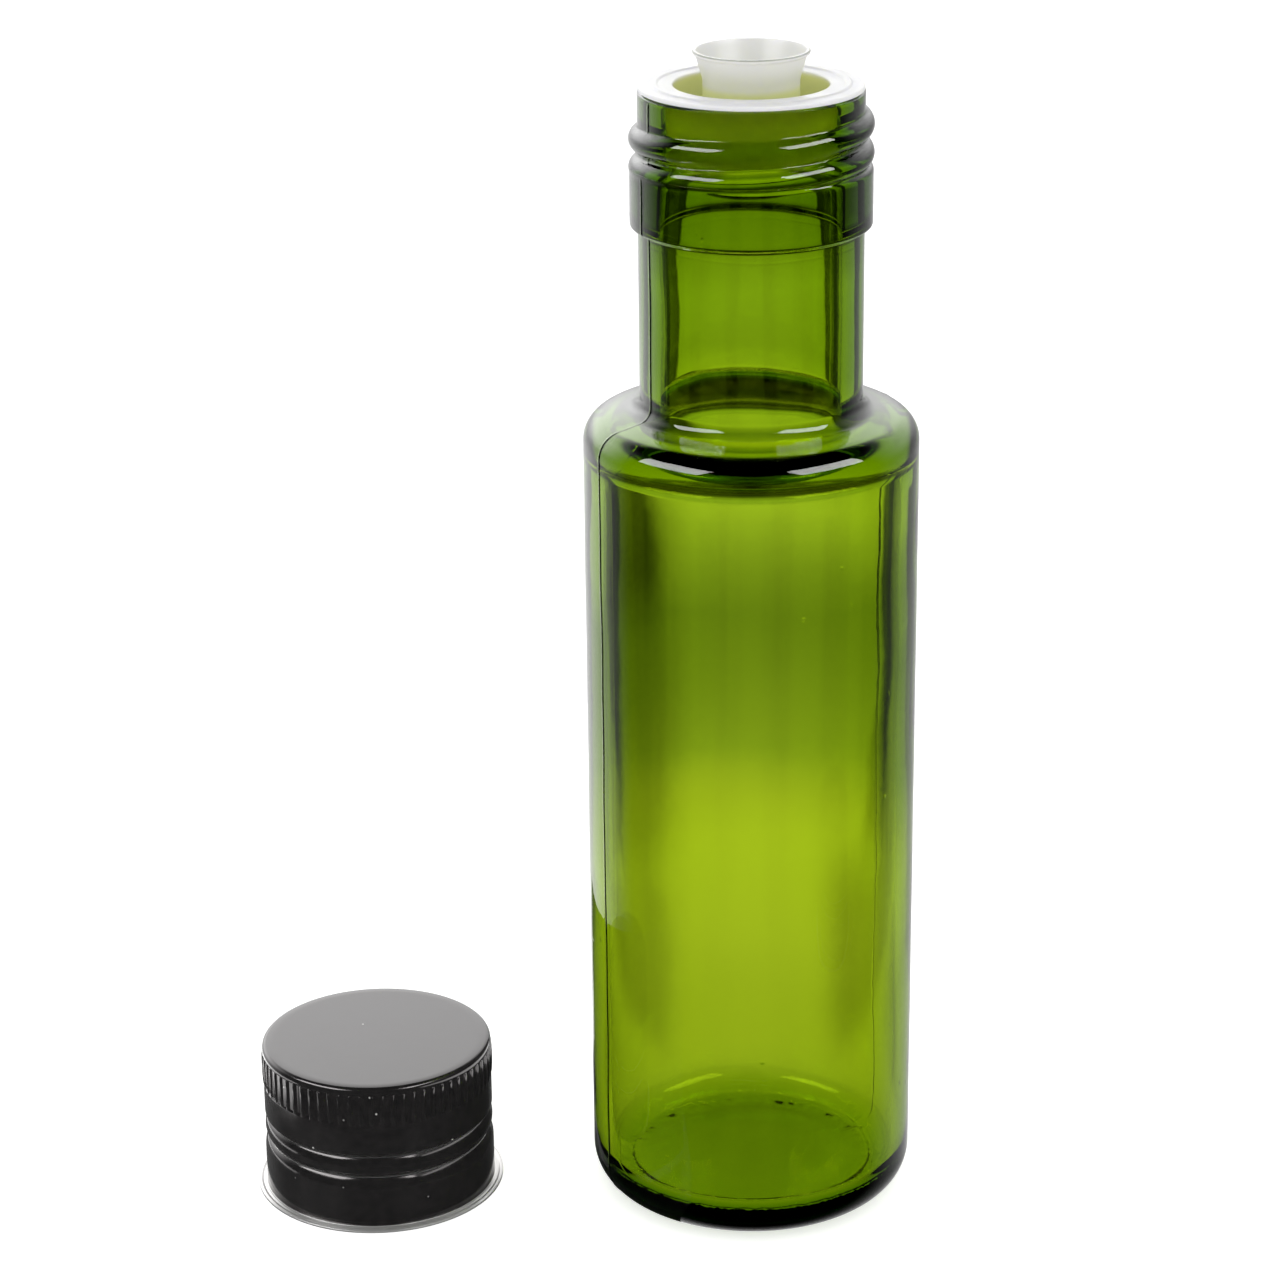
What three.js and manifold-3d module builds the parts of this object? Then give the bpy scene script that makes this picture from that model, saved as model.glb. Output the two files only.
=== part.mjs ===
// Travel oil bottle: a green glass bottle with a thread and collar, a translucent pourer
// pushed into its mouth, and the black aluminium screw cap standing beside it.
// Millimetres, +Z up, the floor at z = 0. Each solid is drawn on its own axis and then
// moved to its place on the floor.
import * as THREE from 'three';
import { mergeVertices } from 'three/addons/utils/BufferGeometryUtils.js';
import Module from 'manifold-3d';

const wasm = await Module();
wasm.setup();

// Places of the two axes on the floor
const BOTTLE_X = 23.07;
const CAP_X = -27.81;
const CAP_Y = -2.03;

// Facets around each piece
const BOTTLE_FACETS = 48;
const POURER_FACETS = 40;
const CAP_FACETS = 48;

// Edges shorter than this, left where two solids cross, are taken out
const SLIVER = 0.01;

// Bottle, outside
const BODY_R = 21.5;
const HEEL_IN = 5.05;
const HEEL_UP = 5.2;
const SHOULDER_Z = 105.3;
const SHOULDER_R = 3.4;
const SHOULDER_SLOPE = 12;
const NECK_R = 14.23;
const NECK_FILLET_R = 2.0;
const COLLAR_R = 15.26;
const COLLAR_BOTTOM_Z = 132.9;
const COLLAR_TOP_Z = 141.0;
const FINISH_R = 14.2;
const RIM_Z = 150.06;
const RIM_ROUND = 0.5;

// Bottle, underside
const PUSH_UP = 0.7;
const PUSH_UP_FLAT_R = 13.6;
const BEARING_R = 14.9;

// Bottle, inside
const BORE_R = 11.1;
const BORE_LIP = 0.4;
const NECK_BORE_R = 11.6;
const BORE_EASE_TOP_Z = 146;
const BORE_EASE_BOTTOM_Z = 126;
const CAVITY_R = 19.3;
const CAVITY_CORNER_R = 3.0;
const CAVITY_TOP_Z = 102.5;
const FLOOR_Z = 4.0;
const FLOOR_DOME = 0.4;
const FLOOR_CORNER_IN = 2.9;
const FLOOR_CORNER_UP = 2.6;

// Thread
const THREAD_PITCH = 3.6;
const THREAD_HEIGHT = 1.15;
const THREAD_HALF_WIDTH = 1.6;
const THREAD_ROOT = 0.8;
const THREAD_FOOT = 0.2;
const THREAD_LEFT_Z = 144.24;
const THREAD_FROM = -217;
const THREAD_TO = 443;
const THREAD_FADE = 35;
const THREAD_STEP = 10;

// Pourer
const FLANGE_R = 14.12;
const FLANGE_BOTTOM_Z = 150.36;
const FLANGE_TOP_Z = 150.97;
const FLANGE_EDGE = 0.2;
const BEAD_R = 12.05;
const BEAD_HALF = 0.45;
const BEAD_H = 0.2;
const PLUG_R = 10.75;
const PLUG_TIP_R = 10.5;
const PLUG_BOTTOM_Z = 141.9;
const WELL_R = 9.7;
const WELL_FLOOR_Z = 145.6;
const WELL_FLOOR_T = 0.9;
const SPOUT_R = 6.0;
const SPOUT_BORE_R = 5.3;
const FLARE_Z = 151.7;
const LIP_Z = 155.2;
const LIP_R = 7.32;
const LIP_H = 0.4;
const LIP_BORE_R = 6.85;

// Cap
const CAP_H = 20.8;
const CAP_R = 15.5;
const CAP_EDGE_R = 0.65;
const CAP_SHEET = 0.3;
const KNURL_TOP_Z = 19.7;
const KNURL_BOTTOM_Z = 15.3;
const KNURL_ROOT_R = 15.42;
const KNURL_TIP_R = 15.62;
const RIBS = 68;
const RIB_WIDTH = 0.5;
const RIB_RUN_OUT = 0.3;
const CREASE_R = 14.9;
const UPPER_CREASE_Z = 10.42;
const LOWER_CREASE_Z = 7.46;
const UPPER_BEAD_R = 15.5;
const UPPER_BEAD_Z = 8.9;
const SKIRT_R = 15.6;
const SKIRT_BEAD_Z = 5.5;
const RIM_R = 16.77;
const RIM_H = 0.45;

// Points of an ellipse arc, from one angle to another in degrees
function arc(cx, cz, rx, rz, from, to, steps) {
  const points = [];
  for (let i = 0; i <= steps; i += 1) {
    const angle = THREE.MathUtils.degToRad(from + ((to - from) * i) / steps);
    points.push([cx + rx * Math.cos(angle), cz + rz * Math.sin(angle)]);
  }
  return points;
}

// Closed mesh for the boolean library: welded corners, no triangle that has lost its area
function toSolid(geometry) {
  const bare = geometry.clone();
  bare.deleteAttribute('normal');
  bare.deleteAttribute('uv');
  const welded = mergeVertices(bare, 1e-4);
  const index = welded.index.array;
  const kept = [];
  for (let i = 0; i < index.length; i += 3) {
    const [a, b, c] = [index[i], index[i + 1], index[i + 2]];
    if (a !== b && b !== c && a !== c) kept.push(a, b, c);
  }
  const mesh = new wasm.Mesh({
    numProp: 3,
    vertProperties: new Float32Array(welded.attributes.position.array),
    triVerts: new Uint32Array(kept),
  });
  return new wasm.Manifold(mesh);
}

// Solid back to a geometry with flat facets
function toGeometry(solid) {
  const mesh = solid.getMesh();
  const geometry = new THREE.BufferGeometry();
  geometry.setAttribute('position', new THREE.BufferAttribute(mesh.vertProperties, 3));
  geometry.setIndex(new THREE.BufferAttribute(mesh.triVerts, 1));
  geometry.computeVertexNormals();
  return geometry;
}

// Solid of revolution about Z from a profile of [radius, height] points
function revolve(profile, facets) {
  const points = profile.map(([r, z]) => new THREE.Vector2(Math.max(r, 0), z));
  const geometry = new THREE.LatheGeometry(points, facets);
  geometry.rotateX(Math.PI / 2);
  return toSolid(geometry);
}

// Closed solid through rings of points: each ring joins the next, and both ends are filled
function loft(rings) {
  const count = rings[0].length;
  const positions = rings.flat(2);
  const index = [];
  for (let i = 0; i + 1 < rings.length; i += 1) {
    for (let j = 0; j < count; j += 1) {
      const k = (j + 1) % count;
      const [a, b] = [i * count + j, i * count + k];
      index.push(a, b, a + count, b, b + count, a + count);
    }
  }
  const last = (rings.length - 1) * count;
  for (let j = 1; j + 1 < count; j += 1) {
    index.push(0, j + 1, j);
    index.push(last, last + j, last + j + 1);
  }
  const geometry = new THREE.BufferGeometry();
  geometry.setAttribute('position', new THREE.Float32BufferAttribute(positions, 3));
  geometry.setIndex(index);
  return toSolid(geometry);
}

// Outside of the bottle, from the middle of its underside up to the rim
function bottleOutside() {
  const slope = THREE.MathUtils.degToRad(SHOULDER_SLOPE);
  const cornerX = BODY_R - SHOULDER_R;
  const topX = cornerX + SHOULDER_R * Math.sin(slope);
  const topZ = SHOULDER_Z + SHOULDER_R * Math.cos(slope);
  const filletX = NECK_R + NECK_FILLET_R;
  const filletZ = topZ + (NECK_FILLET_R - (filletX - topX) * Math.sin(slope)) / Math.cos(slope);
  return [
    [0, PUSH_UP],
    [PUSH_UP_FLAT_R, PUSH_UP],
    [PUSH_UP_FLAT_R + 0.8, PUSH_UP * 0.6],
    [BEARING_R, 0],
    ...arc(BODY_R - HEEL_IN, HEEL_UP, HEEL_IN, HEEL_UP, -90, 0, 6),
    ...arc(cornerX, SHOULDER_Z, SHOULDER_R, SHOULDER_R, 0, 90 - SHOULDER_SLOPE, 5),
    ...arc(filletX, filletZ, NECK_FILLET_R, NECK_FILLET_R, 270 - SHOULDER_SLOPE, 180, 4),
    [NECK_R, COLLAR_BOTTOM_Z],
    [NECK_R + 0.6, COLLAR_BOTTOM_Z + 0.15],
    [COLLAR_R, COLLAR_BOTTOM_Z + 1.0],
    [COLLAR_R, COLLAR_TOP_Z - 0.8],
    [COLLAR_R - 0.35, COLLAR_TOP_Z - 0.15],
    [FINISH_R, COLLAR_TOP_Z],
    ...arc(FINISH_R - RIM_ROUND, RIM_Z - RIM_ROUND, RIM_ROUND, RIM_ROUND, 0, 90, 2),
  ];
}

// The bore widens without a step, along an S-curve from under the plug down to the neck
function boreEase(steps) {
  const points = [];
  for (let i = 0; i <= steps; i += 1) {
    const share = i / steps;
    const r = BORE_R + (NECK_BORE_R - BORE_R) * THREE.MathUtils.smoothstep(share, 0, 1);
    points.push([r, BORE_EASE_TOP_Z + (BORE_EASE_BOTTOM_Z - BORE_EASE_TOP_Z) * share]);
  }
  return points;
}

// Inside of the bottle, from the bore's lip down to the middle of the floor
function bottleInside() {
  const slope = THREE.MathUtils.degToRad(SHOULDER_SLOPE);
  const cornerX = CAVITY_R - CAVITY_CORNER_R;
  const filletR = NECK_FILLET_R + NECK_R - NECK_BORE_R;
  const filletX = NECK_BORE_R + filletR;
  const topX = cornerX + CAVITY_CORNER_R * Math.sin(slope);
  const topZ = CAVITY_TOP_Z + CAVITY_CORNER_R * Math.cos(slope);
  const filletZ = topZ + (filletR - (filletX - topX) * Math.sin(slope)) / Math.cos(slope);
  return [
    [BORE_R + BORE_LIP, RIM_Z],
    [BORE_R, RIM_Z - BORE_LIP],
    ...boreEase(5),
    ...arc(filletX, filletZ, filletR, filletR, 180, 270 - SHOULDER_SLOPE, 4),
    ...arc(cornerX, CAVITY_TOP_Z, CAVITY_CORNER_R, CAVITY_CORNER_R, 90 - SHOULDER_SLOPE, 0, 4),
    ...arc(CAVITY_R - FLOOR_CORNER_IN, FLOOR_Z + FLOOR_CORNER_UP, FLOOR_CORNER_IN,
      FLOOR_CORNER_UP, 0, -90, 4),
    [0, FLOOR_Z + FLOOR_DOME],
  ];
}

// Right-hand thread: one rounded ridge wound up the finish, sunk into it at both ends
function thread() {
  const section = arc(-THREAD_FOOT, 0, THREAD_HEIGHT + THREAD_FOOT, THREAD_HALF_WIDTH, -90, 90, 6);
  section.push([-THREAD_ROOT, THREAD_HALF_WIDTH], [-THREAD_ROOT, -THREAD_HALF_WIDTH]);
  section.reverse();
  const rings = [];
  for (let turn = THREAD_FROM; turn <= THREAD_TO; turn += THREAD_STEP) {
    const nearEnd = Math.min(turn - THREAD_FROM, THREAD_TO - turn) / THREAD_FADE;
    const rise = THREE.MathUtils.smoothstep(nearEnd, 0, 1);
    const size = 0.2 + 0.8 * rise;
    const angle = THREE.MathUtils.degToRad(turn);
    const z = THREAD_LEFT_Z + (THREAD_PITCH * (turn - 180)) / 360;
    rings.push(section.map(([out, up]) => {
      const r = FINISH_R - THREAD_ROOT + (out + THREAD_ROOT) * size;
      return [r * Math.cos(angle), r * Math.sin(angle), z + up * size];
    }));
  }
  return loft(rings);
}

// Pourer: flange on the rim, plug in the bore, sunk well and a flared spout in its middle
function pourerProfile() {
  return [
    [SPOUT_BORE_R, WELL_FLOOR_Z - WELL_FLOOR_T],
    [SPOUT_BORE_R, FLARE_Z],
    [LIP_BORE_R, LIP_Z],
    [LIP_R, LIP_Z],
    [LIP_R, LIP_Z - LIP_H],
    [LIP_R - 0.15, LIP_Z - LIP_H - 0.15],
    [SPOUT_R + 0.1, FLARE_Z],
    [SPOUT_R, FLARE_Z - 0.5],
    [SPOUT_R, WELL_FLOOR_Z],
    [WELL_R, WELL_FLOOR_Z],
    [WELL_R, FLANGE_TOP_Z - FLANGE_EDGE],
    [WELL_R + FLANGE_EDGE, FLANGE_TOP_Z],
    [BEAD_R - BEAD_HALF, FLANGE_TOP_Z],
    [BEAD_R - BEAD_HALF / 2, FLANGE_TOP_Z + BEAD_H],
    [BEAD_R + BEAD_HALF / 2, FLANGE_TOP_Z + BEAD_H],
    [BEAD_R + BEAD_HALF, FLANGE_TOP_Z],
    [FLANGE_R - FLANGE_EDGE, FLANGE_TOP_Z],
    [FLANGE_R, FLANGE_TOP_Z - FLANGE_EDGE],
    [FLANGE_R, FLANGE_BOTTOM_Z],
    [PLUG_R, FLANGE_BOTTOM_Z],
    [PLUG_TIP_R, PLUG_BOTTOM_Z + 0.5],
    [PLUG_TIP_R - 0.3, PLUG_BOTTOM_Z],
    [WELL_R, PLUG_BOTTOM_Z],
    [WELL_R, WELL_FLOOR_Z - WELL_FLOOR_T],
    [SPOUT_BORE_R, WELL_FLOOR_Z - WELL_FLOOR_T],
  ].reverse();
}

// Outside of the cap from its rolled-out rim up to the middle of its top
function capOutside() {
  return [
    [RIM_R - 0.15, 0],
    [RIM_R, RIM_H / 2],
    [RIM_R - 0.15, RIM_H],
    [SKIRT_R + 0.3, RIM_H],
    [SKIRT_R, RIM_H + 0.4],
    [SKIRT_R, SKIRT_BEAD_Z],
    [SKIRT_R - 0.2, SKIRT_BEAD_Z + 1.24],
    [CREASE_R + 0.06, LOWER_CREASE_Z - 0.03],
    [CREASE_R, LOWER_CREASE_Z + 0.03],
    [UPPER_BEAD_R - 0.17, UPPER_BEAD_Z - 0.8],
    [UPPER_BEAD_R, UPPER_BEAD_Z],
    [UPPER_BEAD_R - 0.15, UPPER_BEAD_Z + 0.93],
    [CREASE_R + 0.09, UPPER_CREASE_Z - 0.03],
    [CREASE_R, UPPER_CREASE_Z + 0.03],
    [CAP_R, UPPER_CREASE_Z + 0.5],
    [CAP_R, KNURL_BOTTOM_Z],
    [KNURL_ROOT_R, KNURL_BOTTOM_Z + RIB_RUN_OUT],
    [KNURL_ROOT_R, KNURL_TOP_Z],
    ...arc(CAP_R - CAP_EDGE_R, CAP_H - CAP_EDGE_R, CAP_EDGE_R, CAP_EDGE_R, 0, 90, 3),
    [0, CAP_H],
  ];
}

// Inside of the cap, one sheet thickness behind the outside, down to the floor
function capInside() {
  const wall = CAP_R - CAP_SHEET;
  return [
    [0, CAP_H - CAP_SHEET],
    [wall - CAP_EDGE_R, CAP_H - CAP_SHEET],
    [wall - 0.08, CAP_H - CAP_SHEET - CAP_EDGE_R],
    [wall, UPPER_CREASE_Z + 0.7],
    [CREASE_R - CAP_SHEET, UPPER_CREASE_Z],
    [UPPER_BEAD_R - CAP_SHEET, UPPER_BEAD_Z],
    [CREASE_R - CAP_SHEET, LOWER_CREASE_Z],
    [SKIRT_R - CAP_SHEET, SKIRT_BEAD_Z],
    [SKIRT_R - CAP_SHEET, 0],
  ];
}

// Knurl: upright ribs pressed around the cap under its top edge
function knurl() {
  const half = RIB_WIDTH / 2;
  const foot = KNURL_ROOT_R - CAP_SHEET / 2;
  const section = [[foot, -half], [KNURL_TIP_R, -half / 2], [KNURL_TIP_R, half / 2], [foot, half]];
  const ribs = [];
  for (let i = 0; i < RIBS; i += 1) {
    const angle = ((i + 0.5) / RIBS) * 2 * Math.PI;
    const ring = (z) => section.map(([r, side]) => [
      r * Math.cos(angle) - side * Math.sin(angle),
      r * Math.sin(angle) + side * Math.cos(angle),
      z,
    ]);
    ribs.push(loft([ring(KNURL_BOTTOM_Z + RIB_RUN_OUT), ring(KNURL_TOP_Z)]));
  }
  return wasm.Manifold.compose(ribs);
}

const glass = new THREE.MeshStandardMaterial({
  color: 0x6e8f14, roughness: 0.05, metalness: 0, transparent: true, opacity: 0.6,
});
glass.name = 'green_glass';
const polythene = new THREE.MeshStandardMaterial({ color: 0xeef0ea, roughness: 0.45 });
polythene.name = 'pourer_plastic';
const lacquer = new THREE.MeshStandardMaterial({ color: 0x111112, roughness: 0.3 });
lacquer.name = 'black_lacquer';

function named(name, solid, material, x, y) {
  const mesh = new THREE.Mesh(toGeometry(solid), material);
  mesh.name = name;
  const holder = new THREE.Group();
  holder.name = `${name}_place`;
  holder.position.set(x, y, 0);
  holder.add(mesh);
  return holder;
}

const bottleProfile = [...bottleOutside(), ...bottleInside()];
const bottle = revolve(bottleProfile, BOTTLE_FACETS).add(thread()).simplify(SLIVER);
const pourer = revolve(pourerProfile(), POURER_FACETS);
const capProfile = [[SKIRT_R - CAP_SHEET, 0], ...capOutside(), ...capInside()];
const cap = revolve(capProfile, CAP_FACETS).add(knurl());

const group = new THREE.Group();
group.name = 'travel_oil_bottle';
group.add(named('bottle', bottle, glass, BOTTLE_X, 0));
group.add(named('pourer', pourer, polythene, BOTTLE_X, 0));
group.add(named('cap', cap, lacquer, CAP_X, CAP_Y));

export default group;
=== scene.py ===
# %% [markdown]
# # A travel oil bottle
#
# The real object is a small round bottle of green glass, a milky plastic pourer pushed into
# its mouth, and the black screw cap, which stands beside it. The frame holds the three solids
# at their real size and place. This lesson dresses them: each one is worked out again as a
# smooth surface, finer than the solid, and gets a finish made of nodes.

import bpy
import numpy as np
from mathutils import Matrix


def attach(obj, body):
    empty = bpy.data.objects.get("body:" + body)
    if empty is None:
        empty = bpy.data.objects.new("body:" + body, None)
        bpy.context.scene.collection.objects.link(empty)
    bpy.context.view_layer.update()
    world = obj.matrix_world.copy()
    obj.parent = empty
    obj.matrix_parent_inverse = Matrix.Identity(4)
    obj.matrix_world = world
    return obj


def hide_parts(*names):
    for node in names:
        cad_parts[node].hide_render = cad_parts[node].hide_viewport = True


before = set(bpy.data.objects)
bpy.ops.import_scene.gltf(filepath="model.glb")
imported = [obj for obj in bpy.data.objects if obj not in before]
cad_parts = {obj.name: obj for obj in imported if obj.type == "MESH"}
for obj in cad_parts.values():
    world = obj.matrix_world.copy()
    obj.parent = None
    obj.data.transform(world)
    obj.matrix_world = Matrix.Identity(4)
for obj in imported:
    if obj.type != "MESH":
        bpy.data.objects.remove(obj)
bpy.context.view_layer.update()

MM = 0.001

# %% [markdown]
# ## Shapes that are turned on an axis
#
# All three pieces are bodies of revolution, like something turned on a lathe. One way to make
# one is the Spin tool, or a Screw modifier on a drawn profile. Here the profile is a list of
# points (radius, height) and the surface is a grid: one row for each profile point and one
# column for each angle. Working on the whole grid at once lets the thread, the seams and the
# ribs push single points in or out by a formula before the mesh is made.

# %% Profile helpers


def bend(cx, cz, rx, rz, first, last, steps=8):
    """Points of an ellipse arc: centre plus (rx cos a, rz sin a), a from first to last degrees."""
    a = np.radians(np.linspace(first, last, steps + 1))
    return np.column_stack([cx + rx * np.cos(a), cz + rz * np.sin(a)])


def rounded(corners, steps=5):
    """Path through corners (radius, height, rounding). Each corner is replaced by the circle
    arc that touches both of its sides: the arc starts rounding / tan(half the angle) away."""
    path = [np.array([corners[0][:2]])]
    for before, here, after in zip(corners[:-2], corners[1:-1], corners[2:]):
        p = np.array(here[:2])
        a = np.array(before[:2]) - p
        b = np.array(after[:2]) - p
        a, b = a / np.hypot(*a), b / np.hypot(*b)
        half = np.arccos(np.clip(a @ b, -1, 1)) / 2
        if here[2] == 0 or half > 1.55:
            path.append(p[None, :])
            continue
        middle = p + (a + b) / np.hypot(*(a + b)) * here[2] / np.sin(half)
        start = p + a * here[2] / np.tan(half) - middle
        end = p + b * here[2] / np.tan(half) - middle
        sweep = np.pi - 2 * half
        t = np.linspace(0, 1, steps + 1)[:, None]
        turn = np.sin((1 - t) * sweep) * start + np.sin(t * sweep) * end
        path.append(middle + turn / np.sin(sweep))
    path.append(np.array([corners[-1][:2]]))
    return np.vstack(path)


def filled(path, gap):
    """The same path with points added on its long runs, so none are further apart than gap."""
    step = np.hypot(*np.diff(path, axis=0).T)
    parts = np.maximum(1, np.ceil(step / gap)).astype(int)
    first = np.repeat(np.arange(len(step)), parts)
    count = np.arange(parts.sum()) - np.repeat(np.cumsum(parts) - parts, parts)
    places = np.append(first + count / parts[first], len(step))
    run = np.arange(len(path))
    return np.column_stack([np.interp(places, run, path[:, 0]), np.interp(places, run, path[:, 1])])


print("a quarter circle in 4 steps:", np.round(bend(0, 0, 1, 1, 0, 90, 4), 2).tolist())

# %% [markdown]
# ## From a grid to a mesh
#
# A grid of points becomes a mesh by joining each point to its neighbours with four-sided faces.
# from_pydata takes the lists of points and faces at once, which is much quicker than adding them
# one by one. The faces are listed so that they look outwards, and the ends on the axis are closed
# with fans, because clear glass shows a hole or a face turned inside out at once.

# %% Mesh helper


def skin(name, grid, loop=False):
    """Mesh on a grid of points in millimetres, rows x columns x 3. The columns go once round
    and close. With loop the last row joins the first; otherwise the first and last rows are
    single points on the axis, and fans of triangles close the two ends."""
    rows, columns = grid.shape[:2]
    points = grid.reshape(-1, 3) * MM
    i = np.arange(rows if loop else rows - 1)[:, None] * columns
    j = np.arange(columns)[None, :]
    k = (j + 1) % columns
    up = (i + columns) % (rows * columns)
    quads = np.stack([i + j, i + k, up + k, up + j], axis=-1).reshape(-1, 4)
    faces = quads.tolist()
    if not loop:
        points[:columns] = points[:columns].mean(axis=0)
        points[-columns:] = points[-columns:].mean(axis=0)
        bottom, top = 0, rows * columns - columns
        ring, last = j[0], top + j[0] - columns
        fan = np.stack([np.full(columns, bottom), columns + (ring + 1) % columns, columns + ring], 1)
        lid = np.stack([last, np.roll(last, -1), np.full(columns, top)], 1)
        faces = fan.tolist() + quads[columns:-columns].tolist() + lid.tolist()
    mesh = bpy.data.meshes.new(name)
    mesh.from_pydata(points.tolist(), [], faces)
    mesh.validate()
    piece = bpy.data.objects.new(name, mesh)
    bpy.context.collection.objects.link(piece)
    mesh.polygons.foreach_set("use_smooth", np.ones(len(mesh.polygons), bool))
    print(name, len(mesh.vertices), "points", len(mesh.polygons), "faces")
    return piece


def turned(profile, angles, x, y):
    """Grid of a turned shape. At angle a, a profile point (r, z) goes to
    (x + r cos a, y + r sin a, z)."""
    a = np.radians(angles)
    r, z = profile[..., 0], profile[..., 1]
    if r.ndim == 1:
        r, z = r[:, None] + 0 * a, z[:, None] + 0 * a
    return np.stack([x + r * np.cos(a), y + r * np.sin(a), z], axis=-1)


def hump(x, width):
    """A soft bump, 1 in its middle and near 0 past twice its width: e to minus (x / width) squared."""
    return np.exp(-((x / width) ** 2))


def smooth(t):
    """0 below 0, 1 above 1, and 3t^2 - 2t^3 between, so both ends join flat."""
    t = np.clip(t, 0, 1)
    return t * t * (3 - 2 * t)


print("smooth at a quarter, half and three quarters:", smooth(np.array([0.25, 0.5, 0.75])))

# %% [markdown]
# ## The glass bottle
#
# A pressed and blown bottle has a true outside, because the mould is steel, and a wavy inside,
# because air shaped it. What the eye reads as glass is mostly that inside, so the bottle is one
# closed surface: up the outside, over the rim and down the inside to the floor. It could be drawn
# as a curve and spun, but the thread and the waves need single points to move, so the profile is
# kept as numbers. It comes first.

# %% Bottle profile
BOTTLE_X = 23.07
BODY_R, NECK_R, COLLAR_R, FINISH_R = 21.5, 14.23, 15.26, 14.2
CAVITY_R, NECK_BORE_R, BORE_R = 19.3, 11.6, 11.1
RIM_Z = 150.06
SLOPE = 12.0


def shoulder(body_r, corner_r, corner_z, neck_r, fillet_r):
    """Shoulder of a bottle: a corner arc, a straight slope and a fillet into the neck. The
    fillet's centre is set so that its circle just touches the slope and the neck."""
    s, c = np.sin(np.radians(SLOPE)), np.cos(np.radians(SLOPE))
    top = np.array([body_r - corner_r + corner_r * s, corner_z + corner_r * c])
    x = neck_r + fillet_r
    z = top[1] + (fillet_r - (x - top[0]) * s) / c
    corner = bend(body_r - corner_r, corner_z, corner_r, corner_r, 0, 90 - SLOPE, 14)
    return np.vstack([corner, bend(x, z, fillet_r, fillet_r, 270 - SLOPE, 180, 12)])


PARTING_Z = 131.8
dome_r = np.linspace(0, 16.3, 16)
underside = np.vstack([np.column_stack([dome_r, 0.7 * (1 - (dome_r / 16.3) ** 2)]), [[16.45, 0]]])
heel = bend(BODY_R - 5.05, 5.2, 5.05, 5.2, -90, 0, 26)
neck = np.column_stack([np.full(13, NECK_R), PARTING_Z + np.linspace(-0.6, 0.6, 13)])
collar = rounded([(NECK_R, 132.5, 0), (NECK_R, 132.9, 0.35), (COLLAR_R, 133.35, 0.45),
                  (COLLAR_R, 141.0, 0.75), (FINISH_R, 141.0, 0.25), (FINISH_R, 141.5, 0)])
rim = bend(FINISH_R - 0.5, RIM_Z - 0.5, 0.5, 0.5, 0, 90, 6)
outside = np.vstack([
    filled(underside, 1.2), filled(np.vstack([heel[1:], [[BODY_R, 100]]]), 2.0),
    filled(shoulder(BODY_R, 3.4, 105.3, NECK_R, 2.0), 0.7),
    filled(np.vstack([[[NECK_R, 114]], neck]), 1.5), filled(collar, 0.5),
    filled(np.vstack([[[FINISH_R, 141.7]], rim]), 0.2)])
lip = rounded([(BORE_R + 0.6, RIM_Z, 0), (BORE_R, RIM_Z, 0.4), (BORE_R, 149.0, 0)])
bore_z = np.linspace(148.5, 124, 22)
bore_wall = np.column_stack([BORE_R + (NECK_BORE_R - BORE_R) * smooth((146 - bore_z) / 20), bore_z])
inner_shoulder = shoulder(CAVITY_R, 3.0, 102.5, NECK_BORE_R, 4.63)[::-1]
floor_corner = bend(CAVITY_R - 3.9, 6.7, 3.9, 2.95, 0, -65, 12)
inside = np.vstack([
    lip, filled(np.vstack([bore_wall, inner_shoulder]), 1.2),
    filled(np.vstack([[[CAVITY_R, 100]], floor_corner]), 2.0),
    np.column_stack([np.linspace(16.95, 15.95, 11), np.full(11, 4.0)]),
    filled(np.array([[15.7, 4.0], [8.0, 4.2], [0, 4.4]]), 1.2)])
print("bottle profile:", len(outside), "points outside,", len(inside), "inside")

# %% [markdown]
# ## Seams, thread and wavy wall
#
# The mould opens in two halves, so a fine raised seam runs up the bottle on both sides, and a
# ring mould shapes the finish above a parting line on the neck. The thread is a ridge whose
# height rises by one pitch a turn. All of these are formulas that push the outside outwards,
# and slow sine waves push the inside in and out.

# %% Bottle relief
SEAMS = np.array([207.5, 27.5])
even = np.linspace(0, 360, 232, endpoint=False)
close = (SEAMS[:, None] + np.array([-1.7, -1.2, -0.8, -0.5, -0.25, 0, 0.25, 0.5, 0.8, 1.2, 1.7])).ravel()
far = np.abs((even[:, None] - SEAMS + 180) % 360 - 180).min(axis=1) > 2.0
bottle_columns = np.sort(np.concatenate([even[far], close]))


def seam_relief(r, a, z):
    """Height of the two seams: a hump of 0.08 mm across, by the distance r x angle from each."""
    wander = 0.25 * np.sin(z / 7.0) + 0.15 * np.sin(z / 2.3 + 1.0)
    off = (a[None, :, None] - SEAMS + wander[:, None, None] + 180) % 360 - 180
    across = np.radians(off) * r[:, None, None]
    return 0.08 * hump(across, 0.17).sum(axis=-1)


def parting_relief(a, z):
    """Height of the parting line round the neck: a hump of 0.007 mm that wanders a little up and down."""
    line = PARTING_Z + 0.12 * np.sin(np.radians(2 * a + 40)) + 0.07 * np.sin(np.radians(5 * a))
    return 0.007 * hump(z[:, None] - line[None, :], 0.14)


def thread_relief(a, z):
    """Height of the thread above the finish. The ridge's middle is at a height that grows by
    3.6 mm a turn; across it the height is 1.15 (1 - u^2)^0.7, and it fades over its last 35 degrees."""
    rise = np.zeros((len(z), len(a)))
    for lap in (-360, 0, 360):
        turn = a + lap
        middle = 144.24 + 3.6 * (turn - 180) / 360
        fade = smooth(np.minimum(turn + 217, 443 - turn) / 35)
        u = np.clip((z[:, None] - middle) / (1.6 * (0.35 + 0.65 * fade)), -1, 1)
        rise = np.maximum(rise, 1.15 * fade * (1 - u ** 2) ** 0.7)
    return rise


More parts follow.
